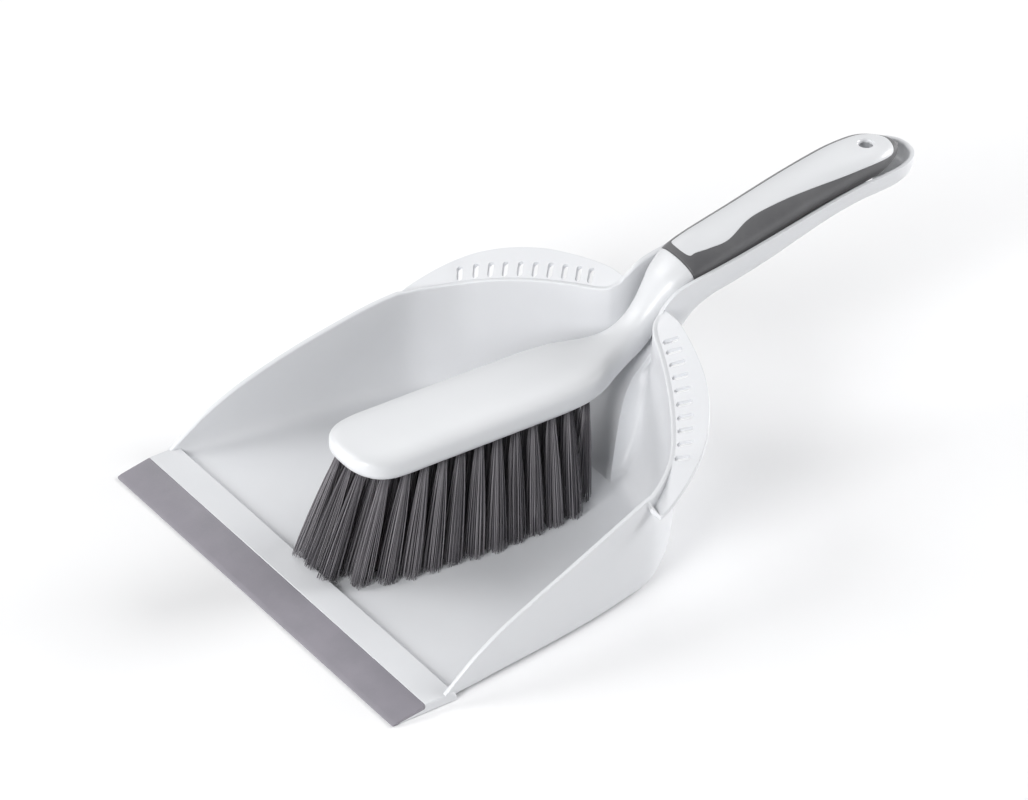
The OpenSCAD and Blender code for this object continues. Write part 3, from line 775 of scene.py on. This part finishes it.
def bump(tree, shader, layers):
    """Adds bump layers of (height, strength, distance in metres)."""
    normal = None
    for height, strength, distance in layers:
        made = node(tree, "ShaderNodeBump", Strength=strength, Distance=distance)
        tree.links.new(height, made.inputs["Height"])
        if normal:
            tree.links.new(normal, made.inputs["Normal"])
        normal = made.outputs["Normal"]
    tree.links.new(normal, shader.inputs["Normal"])


def plastic(name, light, shade, rough, grain=2600, grain_depth=0.00003):
    """Satin moulded polypropylene: faint clouding, fine spark grain and a few handling marks."""
    m, tree, shader = material(name)
    cloud = noise(tree, 22, 4)
    tree.links.new(ramp(tree, cloud, [(0.32, shade), (0.68, light)]), shader.inputs["Base Color"])
    fine = noise(tree, grain, 2)
    marks = noise(tree, 160, 6, 0.7)
    tree.links.new(span(tree, marks, rough - 0.05, rough + 0.07), shader.inputs["Roughness"])
    bump(tree, shader, [(cloud, 0.12, 0.0006), (fine, 0.3, grain_depth)])
    shader.inputs["IOR"].default_value = 1.49
    return m


def rubber(name, light, shade, rough, stipple, depth):
    """Soft thermoplastic rubber with a fine stipple, and a dry sheen."""
    m, tree, shader = material(name)
    cloud = noise(tree, 60, 4)
    tree.links.new(ramp(tree, cloud, [(0.35, shade), (0.65, light)]), shader.inputs["Base Color"])
    grain = noise(tree, stipple, 3, 0.6)
    tree.links.new(span(tree, grain, rough - 0.06, rough + 0.1), shader.inputs["Roughness"])
    bump(tree, shader, [(grain, 0.55, depth)])
    shader.inputs["Sheen Weight"].default_value = 0.25
    shader.inputs["Sheen Roughness"].default_value = 0.45
    shader.inputs["IOR"].default_value = 1.5
    return m


def filament():
    """Synthetic bristle: each filament has its own grey, with fine streaks in its gloss."""
    m, tree, shader = material("filament")
    own = node(tree, "ShaderNodeAttribute", attribute_name="shade")
    colour = ramp(tree, own.outputs["Fac"], [(0.0, (0.055, 0.051, 0.06)), (1.0, (0.27, 0.257, 0.275))])
    tree.links.new(colour, shader.inputs["Base Color"])
    streak = noise(tree, 900, 2)
    tree.links.new(span(tree, streak, 0.32, 0.5), shader.inputs["Roughness"])
    bump(tree, shader, [(streak, 0.2, 0.00003)])
    shader.inputs["IOR"].default_value = 1.53
    return m


def steel():
    m, tree, shader = material("staple_steel")
    shader.inputs["Metallic"].default_value = 1.0
    brushed = noise(tree, 1500, 4)
    tree.links.new(ramp(tree, brushed, [(0.3, (0.42, 0.43, 0.45)), (0.7, (0.62, 0.63, 0.65))]),
                   shader.inputs["Base Color"])
    tree.links.new(span(tree, brushed, 0.25, 0.45), shader.inputs["Roughness"])
    bump(tree, shader, [(brushed, 0.3, 0.00002)])
    return m


def floor_paint():
    m, tree, shader = material("floor_paint")
    cloud = noise(tree, 3, 4)
    tree.links.new(ramp(tree, cloud, [(0.3, (0.9, 0.9, 0.905)), (0.7, (0.93, 0.93, 0.935))]),
                   shader.inputs["Base Color"])
    tree.links.new(span(tree, cloud, 0.6, 0.72), shader.inputs["Roughness"])
    return m


def paint(obj, mat):
    obj.data.materials.clear()
    obj.data.materials.append(mat)


# ---- stage ----

VIEW_AZIMUTH, VIEW_ELEVATION, VIEW_DISTANCE = 55.3, 35.5, 3.5
LENS = 276.2
AIM = Vector((-0.0125, -0.0297, 0.040))
# Soft round lights: name, azimuth, elevation and power in watts
LIGHTS = [
    ("key", 20, 25, 44),
    ("rear", 170, 25, 53),
    ("left", -50, 38, 19),
    ("rear_left", 230, 50, 5.5),
    ("side", -90, 30, 5.5),
]
LIGHT_DISTANCE, LIGHT_SIZE = 2.4, 1.2
FLOOR_HALF, FLOOR_STEPS, FLOOR_GAP = 12.0, 12, 0.0002


def back_vector(azimuth, elevation):
    a, e = math.radians(azimuth), math.radians(elevation)
    return Vector((math.sin(a) * math.cos(e), -math.cos(a) * math.cos(e), math.sin(e)))


def make_camera():
    data = bpy.data.cameras.new("camera")
    data.sensor_width = 36
    data.lens = LENS
    data.clip_start, data.clip_end = 0.1, 100
    cam = bpy.data.objects.new("camera", data)
    bpy.context.scene.collection.objects.link(cam)
    back = back_vector(VIEW_AZIMUTH, VIEW_ELEVATION)
    cam.location = AIM + back * VIEW_DISTANCE
    cam.rotation_mode = "QUATERNION"
    cam.rotation_quaternion = (-back).to_track_quat("-Z", "Y")
    bpy.context.scene.camera = cam


def area_light(name, azimuth, elevation, power):
    data = bpy.data.lights.new(name, "AREA")
    data.shape, data.size, data.energy = "DISK", LIGHT_SIZE, power
    lamp = bpy.data.objects.new(name, data)
    bpy.context.scene.collection.objects.link(lamp)
    direction = back_vector(azimuth, elevation)
    lamp.location = direction * LIGHT_DISTANCE
    lamp.rotation_mode = "QUATERNION"
    lamp.rotation_quaternion = (-direction).to_track_quat("-Z", "Y")


def make_lights():
    for name, azimuth, elevation, power in LIGHTS:
        area_light(name, azimuth, elevation, power)
    world = bpy.data.worlds.new("studio")
    world.use_nodes = True
    background = world.node_tree.nodes["Background"]
    background.inputs["Color"].default_value = (0.97, 0.98, 1.0, 1)
    background.inputs["Strength"].default_value = 0.15
    bpy.context.scene.world = world
    bpy.context.scene.view_settings.view_transform = "Standard"


def make_floor():
    mesh = bpy.data.meshes.new("floor")
    line = np.linspace(-FLOOR_HALF, FLOOR_HALF, FLOOR_STEPS + 1)
    points = [(x, y, 0) for x in line for y in line]
    mesh.from_pydata(points, [], grid_faces(FLOOR_STEPS + 1, FLOOR_STEPS + 1))
    floor = bpy.data.objects.new("floor", mesh)
    bpy.context.scene.collection.objects.link(floor)
    floor.location.z = cad_box[0].z - FLOOR_GAP
    paint(floor, floor_paint())


def main():
    make_camera()
    make_lights()
    make_floor()
    white = plastic("pan_polypropylene", (0.745, 0.755, 0.775), (0.725, 0.735, 0.757), 0.36)
    brush_white = plastic("brush_polypropylene", (0.75, 0.76, 0.775), (0.73, 0.74, 0.757), 0.33)
    lip_rubber = rubber("lip_rubber", (0.27, 0.255, 0.29), (0.24, 0.23, 0.26), 0.55, 1500, 0.00004)
    grip_rubber = rubber("grip_rubber", (0.125, 0.125, 0.13), (0.1, 0.1, 0.105), 0.5, 1900, 0.00008)
    bristle = filament()

    pieces = [
        (make_pan(), "pan", ["pan_body"], "pan_plastic", white),
        (make_lip(), "pan", ["pan_lip"], "lip_rubber", lip_rubber),
        (make_brush_moulding(), "brush", ["brush_body"], "brush_plastic", brush_white),
        (make_grip(), "brush", ["brush_grip"], "grip_rubber", grip_rubber),
    ]
    for i in range(1, ROW_COUNT + 1):
        pieces.append((make_bristle_row(i), "brush", [f"tuft_row_{i:02d}"], "filament", bristle))
    for obj, body, nodes, slot, mat in pieces:
        paint(obj, mat)
        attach(obj, body)
        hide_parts(*nodes)
    paint(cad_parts["tuft_staples"], steel())


main()
